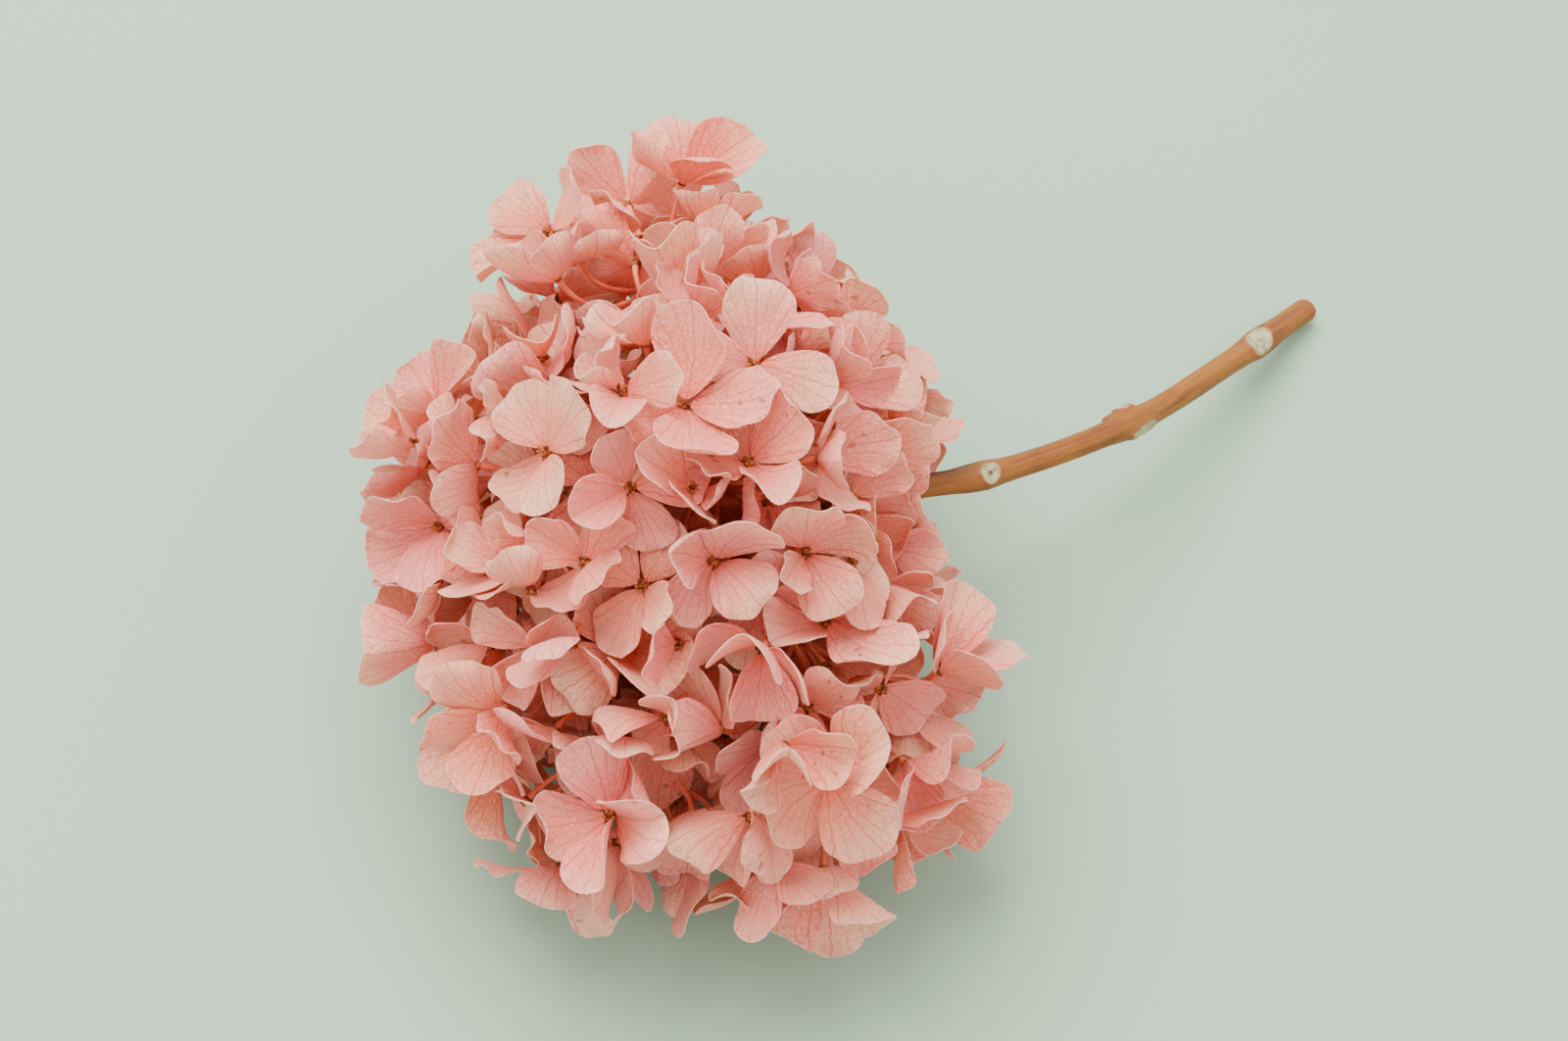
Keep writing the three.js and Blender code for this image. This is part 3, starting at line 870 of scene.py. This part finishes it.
def add_limb(bm, rings, material):
    """A closed limb through rings of corners: one circle, extruded from ring to ring and capped."""
    sides = len(rings[0])
    start = bmesh.ops.create_circle(bm, segments=sides, radius=MM)["verts"]
    grown = [start]
    made = []
    edges = ring_edges(start)
    bottom = edges
    for _ in rings[1:]:
        new = bmesh.ops.extrude_edge_only(bm, edges=edges)["geom"]
        edges = [part for part in new if isinstance(part, bmesh.types.BMEdge)]
        made += [part for part in new if isinstance(part, bmesh.types.BMFace)]
        grown.append(next_ring(grown[-1], {vert for edge in edges for vert in edge.verts}))
    for verts, places in zip(grown, rings):
        for vert, place in zip(verts, places):
            vert.co = place
    for loop_edges in (bottom, edges):
        made += bmesh.ops.contextual_create(bm, geom=loop_edges)["faces"]
    bmesh.ops.recalc_face_normals(bm, faces=made)
    for face in made:
        face.material_index = material
        face.smooth = len(face.verts) == 4
    return grown


def ring_edges(verts):
    return list({edge for vert in verts for edge in vert.link_edges})


def next_ring(before, fresh):
    """The corners that were extruded from a ring, in the ring's order."""
    return [next(edge.other_vert(vert) for edge in vert.link_edges if edge.other_vert(vert) in fresh)
            for vert in before]


# %% Buttons
def add_ball(bm, centre, radius, facing, flatness, material):
    """A small ball, flattened along facing."""
    turn = Vector((0, 0, 1)).rotation_difference(facing).to_matrix().to_4x4()
    place = Matrix.Translation(centre) @ turn @ Matrix.Diagonal((1, 1, flatness, 1))
    made = bmesh.ops.create_icosphere(bm, subdivisions=1, radius=radius, matrix=place)["verts"]
    for face in {face for vert in made for face in vert.link_faces}:
        face.material_index = material
        face.smooth = True


BUTTON_RADII = (1.2, 1.5)  # in millimetres, as the other sizes of a button are
KNOB_RADII = (0.4, 0.6)
KNOB_RINGS = (0.7, 1.1)
KNOB_LIFTS = (0.6, 1.1)
KNOB_COUNTS = (4, 5, 5)


def add_button(bm, button, facing):
    """The dried button: a flat ball with knobs round it, which are what is left of its stamens."""
    add_ball(bm, button, draw(*BUTTON_RADII) * MM, facing, 0.75, BUTTON)
    first = facing.orthogonal().normalized()
    knobs = random_source.choice(KNOB_COUNTS)
    for k in range(knobs):
        side = Quaternion(facing, 2 * math.pi * (k + draw(-0.2, 0.2)) / knobs) @ first
        centre = button + side * draw(*KNOB_RINGS) * MM + facing * draw(*KNOB_LIFTS) * MM
        add_ball(bm, centre, draw(*KNOB_RADII) * MM, (side + facing).normalized(), 1.3, BUTTON)
    add_ball(bm, button + facing * 0.9 * MM, 0.55 * MM, facing, 1.4, BUTTON)


# %% Pedicels
PEDICEL_RADIUS = 0.55 * MM
PEDICEL_SIDES = 8
PEDICEL_STEPS = 12
PULL = 0.4  # how far a pedicel runs straight back from its button, as a share of its length
ray_places = np.array([point for line in ray_lines.values() for point in line])
ray_owner = [name for name, line in ray_lines.items() for _ in line]


def curve_points(start, pull, end, steps):
    """Points on a smooth bow from start to end, drawn towards pull."""
    shares = [i / steps for i in range(steps + 1)]
    return [start * (1 - t) ** 2 + pull * 2 * t * (1 - t) + end * t * t for t in shares]


BEHIND = 4 * MM  # a pedicel starts at least this far behind its button
TOO_FAR = 40 * MM


def nearest_ray(place, facing):
    """The place on a ray where a floret's pedicel starts, and the ray's name."""
    ahead = (np.array(place) - ray_places) @ np.array(facing)
    distances = np.linalg.norm(ray_places - place, axis=1) + np.where(ahead > BEHIND, 0, TOO_FAR)
    nearest = int(distances.argmin())
    return Vector(ray_places[nearest]), ray_owner[nearest]


def add_pedicel(bm, button, facing, foot):
    """The thin stalk from a ray to the back of a button."""
    pull = button - facing * PULL * (button - foot).length
    line = curve_points(foot, pull, button - facing * 0.4 * MM, PEDICEL_STEPS)
    radii = [PEDICEL_RADIUS * (1.25 - 0.35 * i / PEDICEL_STEPS) for i in range(PEDICEL_STEPS + 1)]
    radii[-2:] = [radii[-1] * 1.25, radii[-1] * 1.7]
    add_limb(bm, ring_places(line, radii, PEDICEL_SIDES), STALK)


# %% From mesh to piece
def make_piece(name, bm, finishes, slot, *nodes):
    """Turns a mesh in the making into a piece of the flower."""
    data = bpy.data.meshes.new(name)
    bm.to_mesh(data)
    bm.free()
    for finish in finishes:
        data.materials.append(finish)
    piece = bpy.data.objects.new(name, data)
    bpy.context.scene.collection.objects.link(piece)
    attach(piece, "root")
    if nodes:
        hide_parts(*nodes)
    return piece


FLORET_FINISHES = (sepal_finish, stalk_finish, button_finish)


def florets_piece(name, members, *nodes):
    """One piece that holds one or a few florets."""
    bm, layers = floret_mesh()
    for floret in members:
        age = draw(0, 1)
        for sepal in floret["sepals"]:
            add_sepal(bm, layers, sepal, floret["tint"] + draw(-0.2, 0.2), age + draw(-0.3, 0.3))
    thicken(bm)
    for floret in members:
        button, facing = Vector(floret["button"]), Vector(floret["facing"])
        add_button(bm, button, facing)
        add_pedicel(bm, button, facing, Vector(floret["foot"]))
    return make_piece(name, bm, FLORET_FINISHES, "sepal", *nodes)


# %% The outer florets
for floret in florets:
    near = ray_places[np.linalg.norm(ray_places - floret["foot"], axis=1).argmin()]
    floret["foot"] = 0.5 * floret["foot"] + 0.5 * near
    piece = florets_piece("fine_" + floret["node"], [floret], floret["node"])
print(len(florets), "outer florets, each with", len(piece.data.polygons), "faces")

# %% The inner florets, a few to a piece
GROUP = 8
by_ray = {}
for floret in inner_florets:
    floret["foot"], owner = nearest_ray(floret["button"], floret["facing"])
    by_ray.setdefault(owner, []).append(floret)
group_count = 0
for owner, members in by_ray.items():
    for first in range(0, len(members), GROUP):
        florets_piece(f"inner_florets_{owner[4:]}_{first // GROUP + 1}", members[first:first + GROUP])
        group_count += 1
print(group_count, "pieces of inner florets")

# %% [markdown]
# ## The rays
#
# Eight rays leave the stem's tip like the ribs of an umbrella and carry the pedicels. The frame has them
# as plain rods. Here each follows the same line with small swellings along it, and all eight are one
# piece, because they grow out of one tip.

# %% Smooth lines
def smooth_line(points, count):
    """Points spaced evenly by share along a smooth curve through the given points."""
    padded = [2 * points[0] - points[1], *points, 2 * points[-1] - points[-2]]
    line = []
    for k in range(count):
        where = k / (count - 1) * (len(points) - 1)
        i = min(int(where), len(points) - 2)
        t = where - i
        a, b, c, d = padded[i:i + 4]
        line.append(0.5 * (2 * b + (c - a) * t + (2 * a - 5 * b + 4 * c - d) * t**2
                           + (3 * b - a - 3 * c + d) * t**3))
    return line


# %% Grow the rays
RAY_STEPS = 36
RAY_START_RADIUS = 1.3 * MM
RAY_TIP_RADIUS = 0.95 * MM
RAY_SWELLING = 0.12 * MM
RAY_ROUND = 12
rays_mesh = bmesh.new()
for ray_line in ray_lines.values():
    line = smooth_line(ray_line, RAY_STEPS)
    phase = draw(0, 6)
    radii = [RAY_START_RADIUS + (RAY_TIP_RADIUS - RAY_START_RADIUS) * i / RAY_STEPS
             + RAY_SWELLING * math.sin(i * 0.9 + phase) for i in range(RAY_STEPS)]
    radii[-1] *= 0.6
    add_limb(rays_mesh, ring_places(line, radii, RAY_ROUND), 0)
rays = make_piece("rays", rays_mesh, [stalk_finish], "stalk", *RAY_NODES)
print("rays:", len(rays.data.polygons), "faces")

# %% [markdown]
# ## The stem
#
# The woody stem is one limb like the rays, but it shows, so it gets fine rings. Its radius follows the
# frame's rings, whose swellings are the leaf nodes. Leaves stood there in opposite pairs, each pair a
# quarter turn from the one before, and left pale scars with a raised rim. The scars, the groove and a
# ledge of bark are pushed into the rings' radii, and the same formulas are kept as attributes, so that
# the finish can colour them exactly where they are.

# %% Radius along the stem
STEM_RINGS = 420
STEM_ROUND = 56
cad_rings = corners("stem")
stem_points_np = np.array([tuple(point) for point in stem_line])
owner_ring = np.linalg.norm(cad_rings[:, None] - stem_points_np[None], axis=2).argmin(axis=1)
cad_radii = []
for k, point in enumerate(stem_points_np):
    gaps = np.linalg.norm(cad_rings[owner_ring == k] - point, axis=1)
    cad_radii.append(gaps[gaps > MM].mean())
swellings = [k for k in range(2, len(cad_radii) - 2)
             if cad_radii[k] > max(cad_radii[k - 1], cad_radii[k - 2], cad_radii[k + 2])
             and cad_radii[k] >= cad_radii[k + 1]]
print("stem radii:", [round(r / MM, 2) for r in cad_radii])
print("leaf nodes at rings", swellings)

# %% Stem coordinates
line = smooth_line(stem_line, STEM_RINGS)
distance = np.concatenate([[0], np.cumsum([(b - a).length for a, b in zip(line, line[1:])])])
shares = np.linspace(0, len(stem_line) - 1, STEM_RINGS)
radius = np.interp(shares, range(len(cad_radii)), cad_radii)
leaf_nodes = [float(np.interp(k, shares, distance)) for k in swellings]
stem_length = float(distance[-1])
around = np.arange(STEM_ROUND) * 2 * math.pi / STEM_ROUND
around = np.where(around > math.pi, around - 2 * math.pi, around)
S, A = np.meshgrid(distance, around, indexing="ij")  # distance along and angle round, for every corner
print("stem length", round(stem_length / MM), "mm, nodes at", [round(s / MM) for s in leaf_nodes])


# %% Scars, groove and ledge
def bump_at(values, middle, half_width):
    return np.exp(-(((values - middle) / half_width) ** 2))


def ramp(values, start, end):
    share = np.clip((values - start) / (end - start), 0, 1)
    return share * share * (3 - 2 * share)


def stretch(start, first_slope, end, last_slope):
    """1 between two places along the stem, with a slope at each end."""
    return ramp(S, start, start + first_slope) * ramp(-S, -end, -end + last_slope)


def angle_gap(angle):
    return np.angle(np.exp(1j * (A - angle)))


def scar_distance(node, angle, half_length, half_width):
    """0 in the middle of a leaf scar, 1 on its uneven rim."""
    along = (S - node) / half_length
    across = angle_gap(angle) * radius[:, None] / half_width
    turn = np.arctan2(across, along)
    uneven = 1 + 0.07 * np.sin(2 * turn + 1) + 0.06 * np.sin(3 * turn) + 0.03 * np.sin(7 * turn)
    return np.hypot(along, across) * uneven


first_node, second_node, third_node = leaf_nodes[-3:]
quarter = math.pi / 2
SCARS = [
    (first_node, -0.1, 2.7 * MM, 2.2 * MM), (first_node, math.pi, 2.2 * MM, 1.9 * MM),
    (second_node + 1 * MM, 1.05, 4.4 * MM, 2.0 * MM), (second_node - 1 * MM, -quarter, 2.4 * MM, 1.6 * MM),
    (third_node - 1 * MM, -0.15, 4.3 * MM, 3.3 * MM), (third_node, math.pi, 3.2 * MM, 2.6 * MM),
]
scar = np.zeros_like(S)
collar = np.zeros_like(S)
height = np.zeros_like(S)
whorl = np.ones_like(S) * 2
for place in SCARS:
    d = scar_distance(*place)
    scar = np.maximum(scar, ramp(-d, -1.02, -0.86))
    collar = np.maximum(collar, bump_at(d, 1.12, 0.16))
    whorl = np.minimum(whorl, d)
    height += 0.4 * MM * bump_at(d, 1.02, 0.2) - 0.3 * MM * ramp(-d, -0.9, -0.5)
    height += 0.15 * MM * bump_at(d, 0.0, 0.3)
first_stretch = stretch(first_node + 3 * MM, 6 * MM, second_node - 4 * MM, 4 * MM)
last_stretch = stretch(third_node + 3 * MM, 2 * MM, stem_length - 3 * MM, 3 * MM)
groove = np.maximum(bump_at(angle_gap(-0.42), 0, 0.14) * first_stretch,
                    bump_at(angle_gap(-0.5), 0, 0.2) * last_stretch)
dark = bump_at(angle_gap(-1.25), 0, 0.35) * ramp(-S, -first_node, -first_node + 4 * MM)
ledge_stretch = stretch(second_node - 8 * MM, 1 * MM, second_node + 2.5 * MM, 1.3 * MM)
ledge = bump_at(angle_gap(-quarter), 0, 0.6) * ledge_stretch
height += 0.75 * MM * ledge - 0.22 * MM * groove
ribs = 0.05 * MM * np.sin(9 * A + 60 * S) + 0.07 * MM * np.sin(3 * A - 45 * S + 1.1)
height += ribs * (1 - scar)
print("six leaf scars, a groove and a ledge")


# %% Bark finish
def make_bark_finish():
    finish = Finish("bark")
    straight = finish.node("Attribute", output="Vector", attribute_name="straight")
    stretched = finish.node("Mapping", {"Vector": straight, "Scale": (1, 1, 0.09)})
    grain = finish.noise(stretched, 900.0, detail=5.0)
    patches = finish.noise(straight, 60.0, detail=3.0)
    fibres = finish.noise(stretched, 2600.0, detail=3.0)
    colour = finish.blend(finish.step(patches, 0.3, 0.72), linear(138, 82, 16), linear(114, 60, 10))
    colour = finish.stain(colour, finish.step(grain, 0.5, 0.75), 0.65, (92, 44, 10))
    colour = finish.stain(colour, finish.step(fibres, 0.6, 0.8), 0.35, (158, 104, 32))
    colour = finish.stain(colour, finish.attribute("groove"), 0.8, (112, 44, 22))
    colour = finish.stain(colour, finish.attribute("dark"), 0.75, (72, 34, 20))
    colour = finish.stain(colour, finish.attribute("collar"), 0.7, (138, 58, 30))
    rings = finish.math("SINE", finish.math("MULTIPLY", finish.attribute("whorl"), 17.0))
    cork = finish.noise(straight, 700.0, detail=4.0)
    cork = finish.step(finish.math("ADD", finish.math("MULTIPLY", rings, 0.05), cork), 0.35, 0.75)
    scar_colour = finish.blend(cork, linear(168, 160, 120), linear(116, 108, 70))
    colour = finish.blend(finish.attribute("scar"), colour, scar_colour)
    colour = finish.blend(finish.attribute("bud"), colour, linear(72, 56, 46))
    colour = finish.stain(colour, finish.attribute("cut"), 0.7, (150, 66, 36))
    relief = finish.math("ADD", grain, finish.math("MULTIPLY", fibres, 0.5))
    finish.bump(relief, strength=0.4, distance=0.0003)
    roughness = finish.math("ADD", finish.math("MULTIPLY", grain, 0.25), 0.38)
    finish.set(Base_Color=colour, Roughness=roughness, Specular_IOR_Level=0.3)
    return finish.material


bark_finish = make_bark_finish()
print("bark finish made")

# %% Grow the stem
UP_FACE = Vector((0, -0.5, 0.87))  # the side of the stem where its first and third pairs of leaves stood
END_ROUND = 1.4 * MM


def stem_rings():
    """The corners of the stem's rings, with its relief in their radii."""
    rings = []
    for i, point in enumerate(line):
        way = (line[min(i + 1, STEM_RINGS - 1)] - line[max(i - 1, 0)]).normalized()
        up = (UP_FACE - way * UP_FACE.dot(way)).normalized()
        side = way.cross(up)
        left = (stem_length - distance[i]) / END_ROUND
        rounding = 0.72 + 0.28 * math.sqrt(max(0, 1 - (1 - min(left, 1)) ** 2))
        reach = (radius[i] + height[i]) * rounding
        rings.append([point + (up * math.cos(a) + side * math.sin(a)) * r for a, r in zip(around, reach)])
    return rings


bud = np.maximum.reduce([ramp(-scar_distance(*place), -0.34, -0.2) for place in SCARS[:2]])
cut = ramp(S, stem_length - 2.2 * MM, stem_length - 0.3 * MM)
marks = {"scar": scar, "collar": collar, "whorl": whorl, "groove": groove, "dark": dark,
         "bud": bud, "cut": cut}
stem_mesh = bmesh.new()
mark_layers = {name: stem_mesh.verts.layers.float.new(name) for name in marks}
straight_layer = stem_mesh.verts.layers.float_vector.new("straight")
stem_verts = add_limb(stem_mesh, stem_rings(), 0)
for i, ring in enumerate(stem_verts):
    for k, vert in enumerate(ring):
        for name, values in marks.items():
            vert[mark_layers[name]] = values[i, k]
        across, deep = radius[i] * math.cos(around[k]), radius[i] * math.sin(around[k])
        vert[straight_layer] = (across, deep, distance[i])
stem = make_piece("bark_stem", stem_mesh, [bark_finish], "bark", "stem")
print("stem:", len(stem.data.polygons), "faces")
